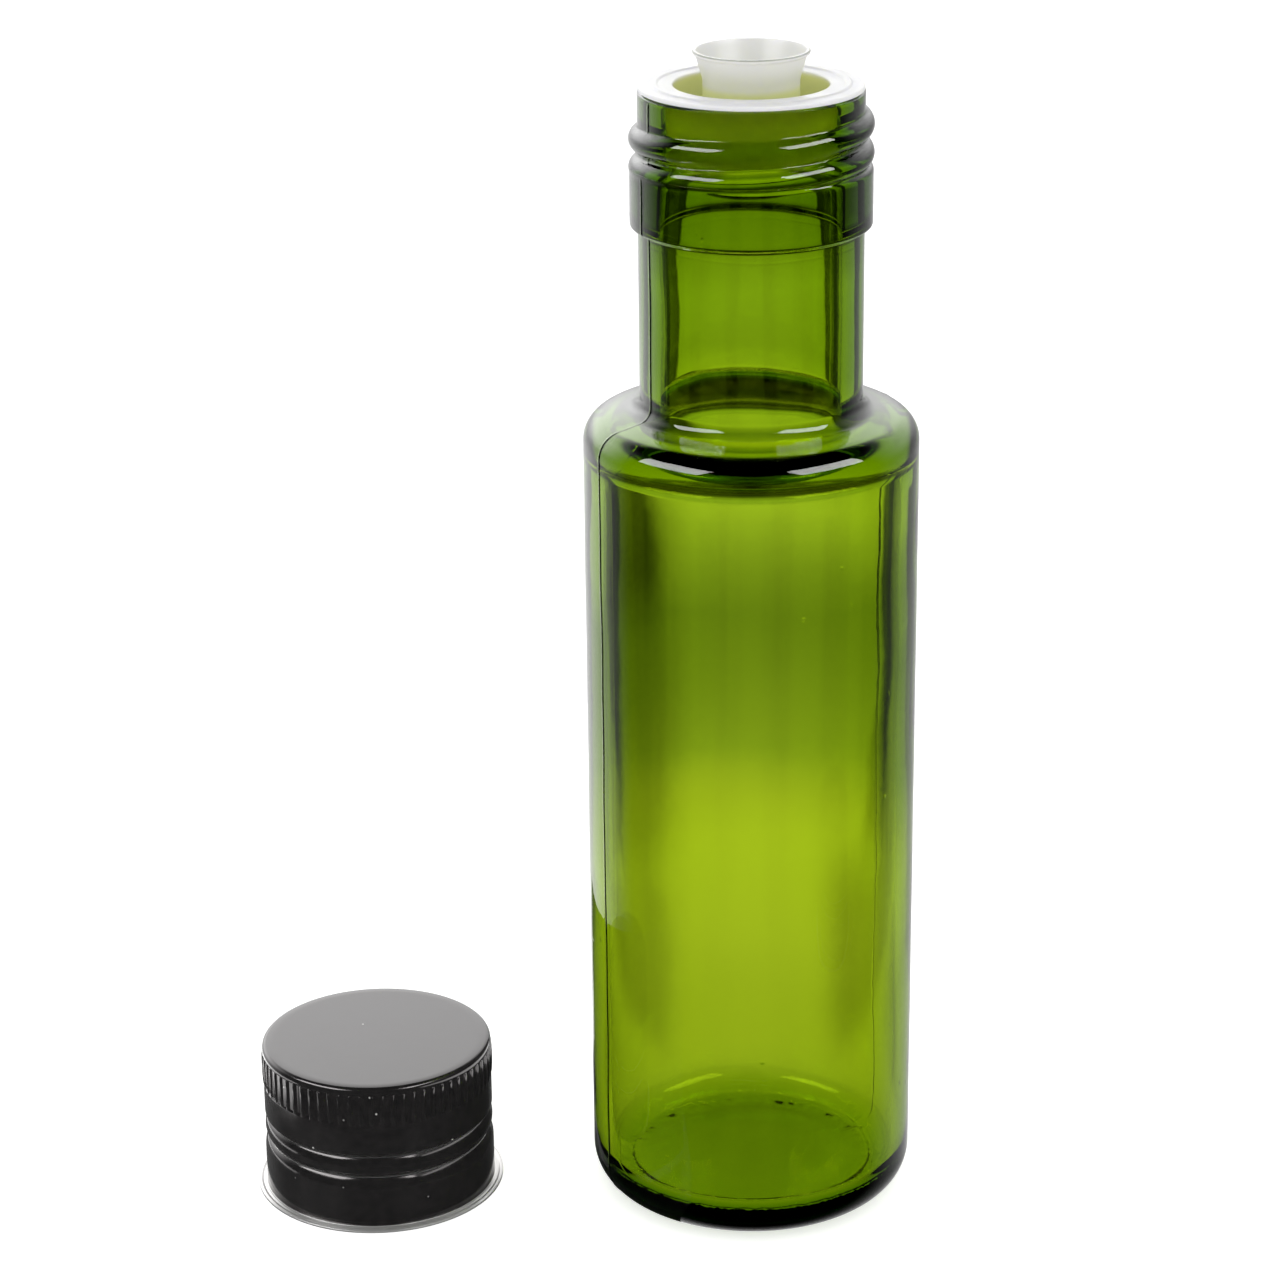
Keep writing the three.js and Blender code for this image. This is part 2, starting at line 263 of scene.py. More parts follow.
def ripple(a, z, seed, size):
    """Slow waves over angle and height: a sum of sines with whole turns round the bottle."""
    rng = np.random.default_rng(seed)
    total = np.zeros((len(z), len(a)))
    for around in (1, 2, 2, 3, 4, 5, 7):
        tall = rng.uniform(14, 60)
        phase = rng.uniform(0, 2 * np.pi, 2)
        wave = np.sin(around * np.radians(a) + phase[0])[None, :] * np.sin(2 * np.pi * z / tall + phase[1])[:, None]
        total += wave * rng.uniform(0.5, 1) / around
    return size * total / 1.5


print(len(bottle_columns), "columns round the bottle, closest at the seams", SEAMS)

# %% [markdown]
# ## The bottle's two skins
#
# The outside takes the thread and the seams. It also gets a stippled ring where the bottle stands,
# which the mould roughens so that the glass doesn't crack on a hard table. The inside takes the
# waves, and a rough, chilled corner where the floor meets the wall. Random numbers come from a
# numbered generator, so the bottle is the same each time.

# %% Bottle surface
r, z = outside.T
on_finish = (z > 140.4)[:, None]
wall = (smooth((z - 1) / 6) * smooth((112 - z) / 4))[:, None]
shell = r[:, None] + seam_relief(r, bottle_columns, z) * (z > 0.6)[:, None]
shell += parting_relief(bottle_columns, z) * ((z > 125) & (z < 138))[:, None]
shell += ripple(bottle_columns, z, 3, 0.02) * wall
stipple = np.random.default_rng(11).uniform(0, 1, shell.shape)
ring = smooth((r - 15.6) / 0.6) * smooth((18.6 - r) / 0.8) * (z < 1.5)
base = z[:, None] + 0.16 * stipple * ring[:, None]
thread = FINISH_R + thread_relief(bottle_columns, z)
shell = np.where(on_finish & (r > 12)[:, None], np.maximum(shell, thread), shell)
outer = np.stack([shell, np.where((z < 1.5)[:, None], base, z[:, None])], axis=-1)

r, z = inside.T
free = (smooth((z - 4.5) / 6) * smooth((147 - z) / 8))[:, None]
bore = r[:, None] + ripple(bottle_columns, z, 8, 0.08) * free * (r > 5)[:, None]
sag = ripple(bottle_columns, r * 3, 5, 0.12) * ((z < 6) & (r < 16))[:, None] * (r / 16)[:, None]
jagged = np.random.default_rng(21).normal(0, 0.13, len(bottle_columns))[None, :] * hump(z - 4.02, 0.5)[:, None]
bore = bore + jagged * ((r > 16.6) & (z < 6))[:, None]
uneven = np.random.default_rng(4).uniform(0.5, 1.3, len(bottle_columns))[None, :]
chill = 0.34 * uneven * (hump(r - 16.45, 0.26) * ((z < 4.2) & (r > 15.8)))[:, None]
inner = np.stack([bore, z[:, None] + sag - chill], axis=-1)

glass_bottle = skin("glass_bottle", turned(np.vstack([outer, inner]), bottle_columns, BOTTLE_X, 0))

# %% [markdown]
# ## The pourer
#
# The pourer is moulded in milky polythene. Its flange lies on the rim, its plug fills the bore,
# and a short flared spout stands in a sunk well. The profile is a closed loop around the hole of
# the spout, so the grid's last row joins its first.

# %% Pourer surface
pourer_profile = rounded([
    (5.3, 144.7, 0), (5.3, 151.3, 2.5), (6.85, 155.2, 0.12), (7.32, 155.2, 0.16), (7.32, 154.8, 0.15),
    (6.95, 154.55, 0.3), (6.05, 151.6, 3.0), (6.0, 145.6, 0.35), (9.7, 145.6, 0.5), (9.7, 150.97, 0.25),
    (11.55, 150.97, 0.15), (11.8, 151.17, 0.15), (12.3, 151.17, 0.15), (12.55, 150.97, 0.15),
    (14.12, 150.97, 0.22), (14.12, 150.36, 0.12), (10.75, 150.36, 0.2), (10.5, 142.4, 0.2),
    (10.2, 141.9, 0.2), (9.7, 141.9, 0.15), (9.7, 144.7, 0.3), (5.4, 144.7, 0)][::-1])
pourer_columns = np.linspace(0, 360, 192, endpoint=False)
pourer_insert = skin("pourer_insert", turned(filled(pourer_profile, 0.8), pourer_columns, BOTTLE_X, 0), loop=True)

# %% [markdown]
# ## The screw cap
#
# The cap is drawn from thin aluminium sheet and lacquered black. Its edge is rounded, a band of
# small upright ribs gives grip, two rolled beads run round it, and its lower edge is cut through
# the lacquer, so the bare metal shows as a bright line. The ribs are one formula over the angle.

# %% Cap profile
CAP_X, CAP_Y, RIBS = -27.81, -2.03, 68


def rolled(r, z, wide, tight):
    """Upper half of a rolled bead. From its widest point (r, z) an arc of a wide radius turns 18
    degrees, and an arc of a tight radius turns on to 48 degrees, where the crease starts."""
    first = bend(r - wide, z, wide, wide, 0, 18, 5)
    x, y = first[-1] - tight * np.array([np.cos(np.radians(18)), np.sin(np.radians(18))])
    return np.vstack([first, bend(x, y, tight, tight, 18, 48, 8)[1:]])


def crease(z):
    """The narrow flat floor of a crease at height z. Points close to its corners keep the smooth
    shading from rounding them off."""
    return np.array([[14.93, z - 0.004], [14.57, z], [14.55, z], [14.55, z + 0.03], [14.55, z + 0.17],
                     [14.55, z + 0.2]])


CREASES = (7.44, 10.40)
cap_outside = np.vstack([
    rounded([(15.3, 0, 0), (16.77, 0, 0.05), (16.77, 0.30, 0.07), (16.42, 0.42, 0.12), (16.12, 0.30, 0.07),
             (15.86, 0.40, 0.07), (15.64, 0.40, 0.05), (15.6, 0.9, 0.3), (15.6, 5.4, 0)]),
    rolled(15.6, 5.5, 4, 1.6), crease(CREASES[0]),
    bend(15.5 - 1.93, 8.9, 1.93, 1.93, -40, -2, 8),
    rolled(15.5, 8.9, 3, 1.3), crease(CREASES[1]),
    rounded([(15.08, 10.64, 0), (15.5, 10.95, 0.3), (15.5, 15.2, 0.2), (15.42, 15.6, 0.2), (15.42, 19.7, 0.2),
             (15.5, 19.9, 0.2), (15.5, 20.8, 0.62), (0, 20.8, 0)])])
cap_inside = rounded([
    (0, 20.5, 0), (15.15, 20.5, 0.5), (15.15, 11, 0.3), (14.3, 10.5, 0.1), (14.8, 9.1, 0.5), (14.3, 7.5, 0.1),
    (15.3, 5.2, 0.5), (15.3, 0, 0)])
cap_profile = np.vstack([filled(cap_outside, 1.1), filled(cap_inside, 3.0)])
print("cap:", cap_outside[:, 0].max() * 2, "mm across the rim,", cap_outside[:, 1].max(), "mm high")

# %% [markdown]
# ## The knurl
#
# The ribs could be one rib repeated by an Array modifier round the cap. Here the cap already has
# a column for every part of each rib, so a formula over the angle lifts those columns. The seams
# between rib and cap then need no joining.

# %% Cap surface
rib_steps = np.array([-0.5, -0.34, -0.24, -0.17, -0.09, 0.0, 0.09, 0.17, 0.24, 0.34]) / RIBS * 360
cap_columns = ((np.arange(RIBS) + 0.5)[:, None] / RIBS * 360 + rib_steps).ravel()


def rib_relief(a, z):
    """Height of the ribs: 0.24 mm on each rib, sloping off at its sides and run out at both ends."""
    off = np.abs(a / 360 * RIBS % 1 - 0.5)
    across = smooth((0.23 - off) / 0.13)
    along = smooth((z - 15.3) / 0.5) * smooth((19.9 - z) / 0.4)
    return 0.24 * along[:, None] * across[None, :]


r, z = cap_profile.T
ribbed = r[:, None] + rib_relief(cap_columns, z) * (r > 15.3)[:, None]
cap_grid = np.stack([ribbed, np.broadcast_to(z[:, None], ribbed.shape)], axis=-1)
# The profile starts and ends at the lower edge, so it is turned round to start on the axis.
split = len(filled(cap_outside, 1.1))
print("cap profile:", len(cap_profile), "points,", RIBS, "ribs of", len(rib_steps), "columns")
closed = np.vstack([cap_grid[split:], cap_grid[:split]])
screw_cap = skin("screw_cap", turned(closed, cap_columns, CAP_X, CAP_Y))

# %% [markdown]
# ## Node helpers
#
# A material is a small network. These helpers add one node with its values and join sockets, so
# that each finish below reads as a short list.

# %% Node helpers


def finish_named(name):
    """A new material with a Principled shader. Returns the material, its tree and that shader."""
    material = bpy.data.materials.new(name)
    material.use_nodes = True
    tree = material.node_tree
    return material, tree, tree.nodes["Principled BSDF"]


def add(tree, kind, inputs=(), **values):
    """One node of a kind, with its settings, and its inputs by name: a number, a colour or a socket."""
    made = tree.nodes.new(kind)
    for key, value in values.items():
        setattr(made, key, value)
    for key, value in dict(inputs).items():
        socket = made.inputs[key]
        if isinstance(value, bpy.types.NodeSocket):
            tree.links.new(value, socket)
        else:
            socket.default_value = value
    return made


def ramp(tree, source, stops, kind="LINEAR"):
    """Colour ramp: stops are (place, grey or colour)."""
    made = add(tree, "ShaderNodeValToRGB", {"Fac": source})
    made.color_ramp.interpolation = kind
    spots = made.color_ramp.elements
    while len(spots) < len(stops):
        spots.new(0.5)
    for spot, (place, value) in zip(spots, stops):
        spot.position = place
        spot.color = (value, value, value, 1) if isinstance(value, (int, float)) else (*value, 1)
    return made.outputs["Color"]


def object_place(tree, shift=(0, 0, 0)):
    """Object coordinates in metres, moved so that a pattern is centred on a piece."""
    place = add(tree, "ShaderNodeTexCoord").outputs["Object"]
    return add(tree, "ShaderNodeMapping", {"Vector": place, "Location": shift}).outputs["Vector"]


def between(tree, value, low, high, at_low=0.0, at_high=1.0, kind="SMOOTHSTEP"):
    """A value that runs smoothly from at_low to at_high while another goes from low to high."""
    return add(tree, "ShaderNodeMapRange", {"Value": value, "From Min": low, "From Max": high, "To Min": at_low,
                                            "To Max": at_high}, interpolation_type=kind).outputs["Result"]


def worked(tree, operation, *values):
    """One step of arithmetic on sockets or numbers."""
    return add(tree, "ShaderNodeMath", dict(enumerate(values)), operation=operation).outputs[0]


def times(tree, first, *others):
    """Product of sockets or numbers."""
    for other in others:
        first = worked(tree, "MULTIPLY", first, other)
    return first


def tinted(tree, share, under, over):
    """Two colours mixed: share 0 gives the one under, 1 the one over."""
    return add(tree, "ShaderNodeMix", {0: share, 6: under, 7: over}, data_type="RGBA").outputs[2]


print("node helpers:", [helper.__name__ for helper in (add, ramp, object_place, between, worked, times, tinted)])


# %% [markdown]
# ## Green glass
#
# Glass takes its colour from depth, not from its surface: thick places are darker. So the
# surface is clear and a Volume Absorption inside it takes away red and nearly all blue. Fine
# waves, a few seeds (tiny trapped bubbles) and faint handling marks keep it from looking made of
# numbers.

# %% Green glass
green_glass, tree, glass = finish_named("clear_green_glass")
glass.inputs["Base Color"].default_value = (1, 1, 1, 1)
glass.inputs["Transmission Weight"].default_value = 1.0
glass.inputs["IOR"].default_value = 1.52
spot = object_place(tree, (-BOTTLE_X * MM, 0, 0))
smudge = add(tree, "ShaderNodeTexNoise", {"Vector": spot, "Scale": 55, "Detail": 5, "Roughness": 0.6})
tree.links.new(ramp(tree, smudge.outputs["Fac"], [(0.5, 0.0), (0.8, 0.012)]), glass.inputs["Roughness"])
peel = add(tree, "ShaderNodeTexNoise", {"Vector": spot, "Scale": 150, "Detail": 2})
seeds = add(tree, "ShaderNodeTexVoronoi", {"Vector": spot, "Scale": 95})
seed_dots = ramp(tree, seeds.outputs["Distance"], [(0.0, 1.0), (0.035, 0.0)])
waves = add(tree, "ShaderNodeBump", {"Height": peel.outputs["Fac"], "Distance": 0.00003, "Strength": 0.6})
dots = add(tree, "ShaderNodeBump", {"Height": seed_dots, "Distance": 0.0001, "Strength": 0.5,
                                    "Normal": waves.outputs["Normal"]})
tree.links.new(dots.outputs["Normal"], glass.inputs["Normal"])
depth = add(tree, "ShaderNodeVolumeAbsorption", {"Color": (0.9545, 0.9699, 0.8086, 1), "Density": 5000})
tree.links.new(depth.outputs["Volume"], tree.nodes["Material Output"].inputs["Volume"])
print("clear green glass:", len(tree.nodes), "nodes")

# %% [markdown]
# ## Milky polythene
#
# Light enters the plastic, scatters and comes out near by. Subsurface scattering gives that, and
# a share of rough transmission lets the green below show faintly through. The yellow-green in the
# well and low on the spout is painted green light from the glass below, put into the base colour,
# and a grey line round the spout's lip is painted shade. Fine turning lines of the mould run round
# the flange.

# %% Milky polythene
pourer_plastic, tree, plastic = finish_named("milky_polythene")
spot = object_place(tree, (-BOTTLE_X * MM, 0, 0))
cloud = add(tree, "ShaderNodeTexNoise", {"Vector": spot, "Scale": 300, "Detail": 3})
milk = ramp(tree, cloud.outputs["Fac"], [(0.3, (0.95, 0.93, 0.92)), (0.7, (0.98, 0.96, 0.95))])
place = add(tree, "ShaderNodeSeparateXYZ", {"Vector": spot})
flat = add(tree, "ShaderNodeCombineXYZ", {"X": place.outputs["X"], "Y": place.outputs["Y"]}).outputs["Vector"]
out_from_axis = add(tree, "ShaderNodeVectorMath", {"Vector": flat}, operation="LENGTH").outputs["Value"]
up = place.outputs["Z"]
# Painted light: the base colour turns yellow-green in the well and low on the spout, for green light from the glass
# below, and a grey line of painted shade runs round the spout's lip.
well_painted_green_light = times(tree, between(tree, up, 0.1502, 0.1512, 1, 0), between(tree, out_from_axis, 0.0098, 0.0104, 1, 0))
spout_painted_green_light = times(tree, between(tree, up, 0.1505, 0.1545, 0.35, 0), between(tree, out_from_axis, 0.0085, 0.0098, 1, 0))
lip_painted_shade = times(tree, between(tree, up, 0.15495, 0.15510), between(tree, out_from_axis, 0.00712, 0.00722))
tint = tinted(tree, well_painted_green_light, milk, (0.90, 0.93, 0.46, 1))
tint = tinted(tree, spout_painted_green_light, tint, (0.86, 0.92, 0.70, 1))
tint = tinted(tree, lip_painted_shade, tint, (0.35, 0.36, 0.33, 1))
tree.links.new(tint, plastic.inputs["Base Color"])
tree.links.new(ramp(tree, cloud.outputs["Fac"], [(0.3, 0.30), (0.7, 0.42)]), plastic.inputs["Roughness"])
plastic.inputs["Subsurface Weight"].default_value = 1.0
plastic.inputs["Subsurface Radius"].default_value = (1.0, 1.0, 0.8)
plastic.inputs["Subsurface Scale"].default_value = 0.0012
tree.links.new(between(tree, up, 0.1440, 0.1452, 0.7, 0.2), plastic.inputs["Transmission Weight"])
plastic.inputs["IOR"].default_value = 1.5
lines = add(tree, "ShaderNodeTexWave", {"Vector": spot, "Scale": 400, "Distortion": 0.4},
            wave_type="RINGS", rings_direction="Z")
groove = add(tree, "ShaderNodeBump", {"Height": lines.outputs["Fac"], "Distance": 0.00002, "Strength": 0.6})
tree.links.new(groove.outputs["Normal"], plastic.inputs["Normal"])
print("milky polythene:", len(tree.nodes), "nodes")

# %% [markdown]
# ## Black lacquer
#
# A baked lacquer is a satin black skin over metal. Where the sheet was cut, at the lowest half
# millimetre, there is no lacquer. At the heights of the two creases a thin band of bright metal is
# painted in as a painted highlight, the bright line along each crease. Two materials on two groups
# of faces could show that. The height above the floor tells metal from paint just as well, and
# keeps the cap in one piece and one slot.

# %% Black lacquer
black_lacquer, tree, lacquer = finish_named("satin_lacquer")
spot = object_place(tree, (-CAP_X * MM, -CAP_Y * MM, 0))
height = add(tree, "ShaderNodeSeparateXYZ", {"Vector": spot}).outputs["Z"]
cut_edge = between(tree, height, 0.00042, 0.0005, 1, 0, "LINEAR")
# Painted highlight: thin bands at the crease heights get bright metal, for the bright lines along the creases.
crease_painted_highlight = [worked(tree, "COMPARE", height, level * MM, 0.00003) for level in CREASES]
bare_edge_and_crease_highlight = worked(tree, "MAXIMUM", cut_edge, worked(tree, "ADD", *crease_painted_highlight))
grain = add(tree, "ShaderNodeTexNoise", {"Vector": spot, "Scale": 900, "Detail": 4})
dust = add(tree, "ShaderNodeTexVoronoi", {"Vector": spot, "Scale": 260})
speck = ramp(tree, dust.outputs["Distance"], [(0.0, 1.0), (0.05, 0.0)])
paint = ramp(tree, grain.outputs["Fac"], [(0.3, (0.010, 0.010, 0.010)), (0.7, (0.016, 0.015, 0.015))])
coat = tinted(tree, bare_edge_and_crease_highlight, tinted(tree, speck, paint, (0.7, 0.7, 0.68, 1)), (0.62, 0.62, 0.61, 1))
tree.links.new(coat, lacquer.inputs["Base Color"])
tree.links.new(times(tree, bare_edge_and_crease_highlight, 0.65), lacquer.inputs["Metallic"])
lacquer.inputs["IOR"].default_value = 1.6
lacquer.inputs["Specular Tint"].default_value = (1.0, 0.955, 0.955, 1)
sheen = ramp(tree, grain.outputs["Fac"], [(0.3, 0.13), (0.7, 0.18)])
rough = add(tree, "ShaderNodeMix", {0: bare_edge_and_crease_highlight, 2: sheen, 3: 0.28})
tree.links.new(rough.outputs[0], lacquer.inputs["Roughness"])
satin = add(tree, "ShaderNodeBump", {"Height": grain.outputs["Fac"], "Distance": 0.000004, "Strength": 0.4})
tree.links.new(satin.outputs["Normal"], lacquer.inputs["Normal"])
print("satin lacquer:", len(tree.nodes), "nodes")

# %% [markdown]
# ## Dressing the solids
#
# Each finished piece takes the place of one solid of the frame and rides on the root, the one
# body of this object. Nothing here moves: the cap simply stands on the table.

# %% Dress the pieces
for piece, material, node, slot in (
        (glass_bottle, green_glass, "bottle", "green_glass"),
        (pourer_insert, pourer_plastic, "pourer", "pourer_plastic"),
        (screw_cap, black_lacquer, "cap", "black_lacquer")):
    piece.data.materials.append(material)
    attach(piece, "root")
    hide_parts(node)
    print(piece.name, "dresses", node, "in", material.name)

# %% [markdown]
# ## Floor and light
#
# The floor is white and a little over-lit, so hardly any shadow shows. Clear glass shows
# whatever stands behind it, and a shiny dark cap shows whatever stands in front. A photographer
# places cards for that, and so does this stage. Each card is met by one kind of ray only, so it
# never shows itself. First come the helpers that make them.

# %% Card helpers


def flat_piece(name, centre, width, depth, z):
    """A flat rectangle at height z, its four corners half its width and depth from the centre."""
    corners = np.array([[-1, -1], [1, -1], [1, 1], [-1, 1]]) * [width / 2, depth / 2] + centre
    points = np.column_stack([corners, np.full(4, z)])
    mesh = bpy.data.meshes.new(name)
    mesh.from_pydata(points.tolist(), [], [(0, 1, 2, 3)])
    sheet = bpy.data.objects.new(name, mesh)
    bpy.context.collection.objects.link(sheet)
    return sheet


def round_piece(name, centre, inner, outer, z, first=0, last=360):
    """A flat ring at height z between two radii, in 96 steps from the first to the last degree."""
    a = np.radians(np.linspace(first, last, 97))
    rim = np.column_stack([np.cos(a), np.sin(a)])
    points = np.vstack([rim * inner, rim * outer]) + centre
    k = np.arange(96)
    faces = np.column_stack([k, k + 97, k + 98, k + 1])
    mesh = bpy.data.meshes.new(name)
    mesh.from_pydata(np.column_stack([points, np.full(194, z)]).tolist(), [], faces.tolist())
    disc = bpy.data.objects.new(name, mesh)
    bpy.context.collection.objects.link(disc)
    return disc


def seen_only_by(sheet, transmission=False, glossy=False):
    """A card that casts no shadow and that only one kind of ray meets."""
    sheet.visible_camera = sheet.visible_diffuse = sheet.visible_shadow = False
    sheet.visible_transmission, sheet.visible_glossy = transmission, glossy


print("a card is seen only through glass, or only in reflections")

# %% Floor
floor = flat_piece("studio_floor", (0.023, 0), 8, 8, 0)
paper, tree, white = finish_named("floor_paper")
fibre = add(tree, "ShaderNodeTexNoise", {"Scale": 40, "Detail": 3})
tree.links.new(ramp(tree, fibre.outputs["Fac"], [(0.3, 0.80), (0.7, 0.84)]), white.inputs["Base Color"])
white.inputs["Roughness"].default_value = 0.9
white.inputs["Emission Color"].default_value = (1, 1, 1, 1)
white.inputs["Emission Strength"].default_value = 0.65
floor.data.materials.append(paper)
floor.visible_transmission = floor.visible_glossy = False
print("floor:", floor.dimensions.x, "m wide")

# %% [markdown]
# ## The card behind the glass
#
# Looking down through the bottle, the eye meets the table behind it: near the bottle through its
# foot, further off through its neck. The card glows, and its tone is painted light and shade that
# depends on the distance from the bottle: dim right beneath the bottle, a painted shadow, then the
# dark and bright bands that a table edge, a wall and a window throw into glass. Painted shade makes
# it darker towards the sides, which draws the dark flanks of the bottle, and darkens a few patches
# at given angles and distances. The pattern repeats eight times round the bottle, so it looks much
# the same from every side.

# %% Card behind the glass
behind = flat_piece("glass_backdrop", (0.023, 0), 6, 6, -0.0002)
card, tree, shader = finish_named("backdrop_card")
tree.nodes.remove(shader)
spot = object_place(tree, (-BOTTLE_X * MM, 0, 0))
away = add(tree, "ShaderNodeVectorMath", {"Vector": spot}, operation="LENGTH").outputs["Value"]
toward = add(tree, "ShaderNodeSeparateXYZ", {"Vector": spot})
angle = worked(tree, "ARCTAN2", toward.outputs["Y"], toward.outputs["X"])
aside = worked(tree, "WRAP", angle, np.pi / 8, -np.pi / 8)
beyond = worked(tree, "SUBTRACT", worked(tree, "ABSOLUTE", aside), 0.21)
# Painted shade: the wedge, the patches and the sides darken the glowing card.
wedge = between(tree, times(tree, beyond, away), 0.017, 0.029, 1, 0.08)
left_patch = times(tree, between(tree, aside, np.radians(6.5), np.radians(10.5)), between(tree, away, 0.19, 0.27),
                   between(tree, away, 0.33, 0.35, 1, 0))
right_patch = times(tree, between(tree, aside, np.radians(-14), np.radians(-18)), between(tree, away, 0.10, 0.13),
                    between(tree, away, 0.16, 0.20, 1, 0))
# A spot at a distance is seen across the bottle at aside x away / (1 + 7.5 away), in metres.
across = worked(tree, "DIVIDE", times(tree, aside, away), worked(tree, "MULTIPLY_ADD", away, 7.5, 1.0))
near_sides = times(tree, between(tree, worked(tree, "ABSOLUTE", across), 0.006, 0.016),
                   between(tree, away, 0.018, 0.060), between(tree, away, 0.09, 0.13, 1, 0))
left_side = times(tree, between(tree, across, 0.005, 0.016), between(tree, away, 0.09, 0.13),
                  between(tree, away, 0.30, 0.36, 1, 0))
strength = times(tree, wedge, between(tree, left_patch, 0, 1, 1, 0.22), between(tree, right_patch, 0, 1, 1, 0.55),
                 between(tree, left_side, 0, 1, 1, 0.5), between(tree, near_sides, 0, 1, 1, 0.62))
far_off = between(tree, away, 0, 1.5, kind="LINEAR")
# Painted light and shade by distance in millimetres: a painted shadow dim beneath the bottle, then bright and dark
# bands, warmer where bright.
card_mm = np.array([0, 20, 38, 70, 115, 130, 155, 223, 305, 345, 410, 490, 600, 720, 900, 1500])
card_tone = np.array([0.54, 0.6, 0.92, 0.97, 1.18, 1.0, 0.65, 0.44, 1.0, 0.95, 0.73, 0.8, 0.62, 0.55, 0.2, 0.06])
warmth = np.clip((card_tone - 0.5) / 0.45, 0, 1) * np.interp(card_mm, [150, 300, 520], [1, 0.5, 0])
card_colour = card_tone[:, None] * ((1.0, 0.97, 0.95) * warmth[:, None] + (0.85, 1.0, 0.95) * (1 - warmth[:, None]))
stops = [(d / 1500, tuple(colour)) for d, colour in zip(card_mm.tolist(), card_colour.tolist())]
glow = add(tree, "ShaderNodeEmission", {"Color": ramp(tree, far_off, stops), "Strength": strength})
tree.links.new(glow.outputs["Emission"], tree.nodes["Material Output"].inputs["Surface"])
behind.data.materials.append(card)
seen_only_by(behind, transmission=True)
print("card behind the glass:", len(stops), "tones,", len(tree.nodes), "nodes")

# %% [markdown]
# ## Cards for the cap
#
# Black lacquer is drawn by what it mirrors. A dark felt mat keeps the cap's front black, a bright
# arc on its left lights the left ribs, and a strip on its right lights the right ones. A dark flag
# stands between cap and bottle, because green glass would show in the cap otherwise.

# %% Cards for the cap
mat = round_piece("reflection_mat", (CAP_X * MM, CAP_Y * MM), 0.001, 0.0435, -0.0004)
felt, tree, shader = finish_named("dark_felt")
shader.inputs["Base Color"].default_value = (0.01, 0.01, 0.01, 1)
mat.data.materials.append(felt)
seen_only_by(mat, glossy=True)


def standing(name, x, y, width, low, high, material):
    """A card that stands across the gap between cap and bottle, seen only in reflections."""
    sheet = flat_piece(name, (0, 0), width, high - low, 0)
    upright = Matrix.Rotation(np.pi / 2, 4, "Z") @ Matrix.Rotation(np.pi / 2, 4, "X")
    sheet.matrix_world = Matrix.Translation((x, y, (low + high) / 2)) @ upright
    sheet.data.materials.append(material)
    seen_only_by(sheet, glossy=True)
    return sheet


bright, tree, shader = finish_named("bright_strip")
shader.inputs["Emission Color"].default_value = (1, 1, 1, 1)
shader.inputs["Emission Strength"].default_value = 2.0
arc = round_piece("reflection_arc", (CAP_X * MM, CAP_Y * MM), 0.0437, 0.0565, -0.0004, 110, 200)
arc.data.materials.append(bright)
seen_only_by(arc, glossy=True)
flag = standing("reflection_flag", -0.0043, -0.010, 0.05, 0.0005, 0.037, felt)
strip = standing("reflection_strip", -0.0048, -0.010, 0.04, 0.0150, 0.0200, bright)
print("stage:", [piece.name for piece in (floor, behind, mat, arc, flag, strip)])

# %% [markdown]
# ## Light from all round
#
# The world is a plain white room whose brightness depends on the direction and on the kind of
# ray. What the pieces mirror comes from the far side of the room, a little more from the left,
# and not from straight above. What is seen through the glass is nearly dark above the horizon,
# apart from light that falls in steeply from the sides, because the card gives the rest. All
# other rays get an even dome.

# %% World
world = bpy.data.worlds.new("studio")
bpy.context.scene.world = world
world.use_nodes = True
tree = world.node_tree
sky = tree.nodes["Background"]
way = add(tree, "ShaderNodeSeparateXYZ", {"Vector": add(tree, "ShaderNodeTexCoord").outputs["Generated"]})
rays = add(tree, "ShaderNodeLightPath")


def chosen(switch, off, on):
    """One of two values, by a ray switch that is 0 or 1."""
    return add(tree, "ShaderNodeMix", {0: switch, 2: off, 3: on}).outputs[0]


east, north, rise = (way.outputs[axis] for axis in "XYZ")
mirrored = times(tree, between(tree, north, 0, 0.78, 0, 1.7), between(tree, rise, 0.45, 0.75, 1, 0),
                 between(tree, rise, -0.1, 0.3, 0.5, 1.4), between(tree, east, -0.8, 0.8, 1.55, 0.5))
steep = times(tree, between(tree, worked(tree, "ABSOLUTE", east), 0.07, 0.22), between(tree, rise, 0.1, 0.25))
refracted = worked(tree, "MAXIMUM", between(tree, rise, 0, 0.12, 0.12, 0.02), steep)
dome = between(tree, rise, 0, 1, 0.7, 1.1)
light = chosen(rays.outputs["Is Transmission Ray"], chosen(rays.outputs["Is Glossy Ray"], dome, mirrored), refracted)
tree.links.new(light, sky.inputs["Strength"])
sky.inputs["Color"].default_value = (1, 1, 1, 1)
print("world:", len(tree.nodes), "nodes")

# %% [markdown]
# ## Two softboxes
#
# A softbox is a lamp behind a sheet of cloth. One on each side puts the long highlights on the
# thread, the shoulder and the beads of the cap. Their light on matt surfaces is switched off, so
# the floor stays white and even.

# %% Lamps


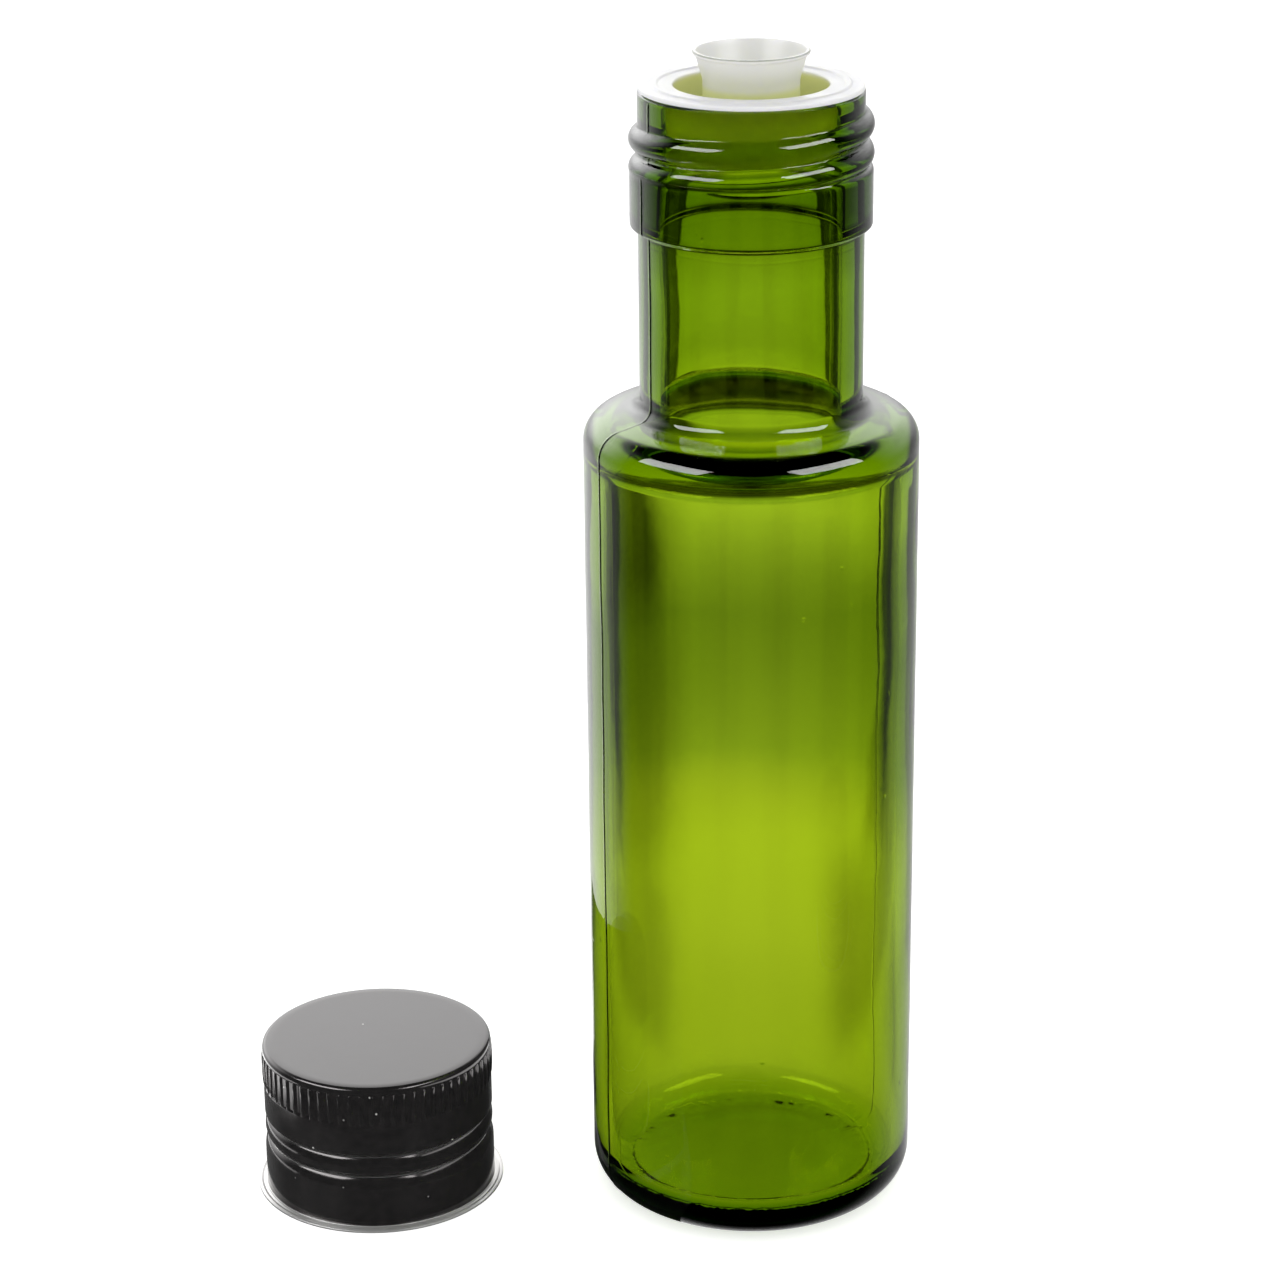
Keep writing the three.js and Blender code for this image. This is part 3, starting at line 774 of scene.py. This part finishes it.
def softbox(name, azimuth, elevation, distance, width, height, watts):
    """A square lamp that looks at the bottle from a direction: azimuth is measured from the camera's side."""
    a, e = np.radians(azimuth), np.radians(elevation)
    toward = np.array([np.sin(a) * np.cos(e), -np.cos(a) * np.cos(e), np.sin(e)])
    target = np.array([0.0, 0.0, 0.08])
    data = bpy.data.lights.new(name, "AREA")
    data.shape, data.size, data.size_y, data.energy = "RECTANGLE", width, height, watts
    lamp = bpy.data.objects.new(name, data)
    bpy.context.collection.objects.link(lamp)
    across = np.cross([0, 0, 1], toward)
    across /= np.linalg.norm(across)
    over = np.cross(toward, across)
    turn = np.column_stack([across, over, toward])
    lamp.matrix_world = Matrix.Translation(target + toward * distance) @ Matrix(turn.tolist()).to_4x4()
    lamp.visible_diffuse = False
    print(name, "at", np.round(target + toward * distance, 2))
    return lamp


softbox("left_softbox", -62, 40, 1.2, 1.0, 0.45, 12)
softbox("right_softbox", 62, 40, 1.2, 1.0, 0.45, 12)

# %% [markdown]
# ## Camera
#
# The camera stands about 45 cm away and looks 20 degrees down, which is why the rims show as
# ellipses. Its axes are worked out from yaw, pitch and roll and written into its matrix.

# %% Camera
yaw, pitch, roll = np.radians([-1.868, 20.358, -0.625])
ahead = np.array([np.sin(yaw) * np.cos(pitch), np.cos(yaw) * np.cos(pitch), -np.sin(pitch)])
level = np.array([np.cos(yaw), -np.sin(yaw), 0])
over = np.cross(level, ahead)
right = np.cos(roll) * level + np.sin(roll) * over
up = -np.sin(roll) * level + np.cos(roll) * over
lens = bpy.data.cameras.new("camera")
lens.lens, lens.sensor_width, lens.clip_start = 102.11, 36, 0.01
camera = bpy.data.objects.new("camera", lens)
bpy.context.collection.objects.link(camera)
frame_axes = np.column_stack([right, up, -ahead])
camera.matrix_world = Matrix.Translation((0.02307, -0.4445, 0.2426)) @ Matrix(frame_axes.tolist()).to_4x4()
bpy.context.scene.camera = camera
bpy.context.scene.view_settings.view_transform = "Standard"
bpy.context.scene.view_settings.look = "None"
print("camera at", tuple(round(value, 3) for value in camera.matrix_world.translation), "lens", lens.lens, "mm")
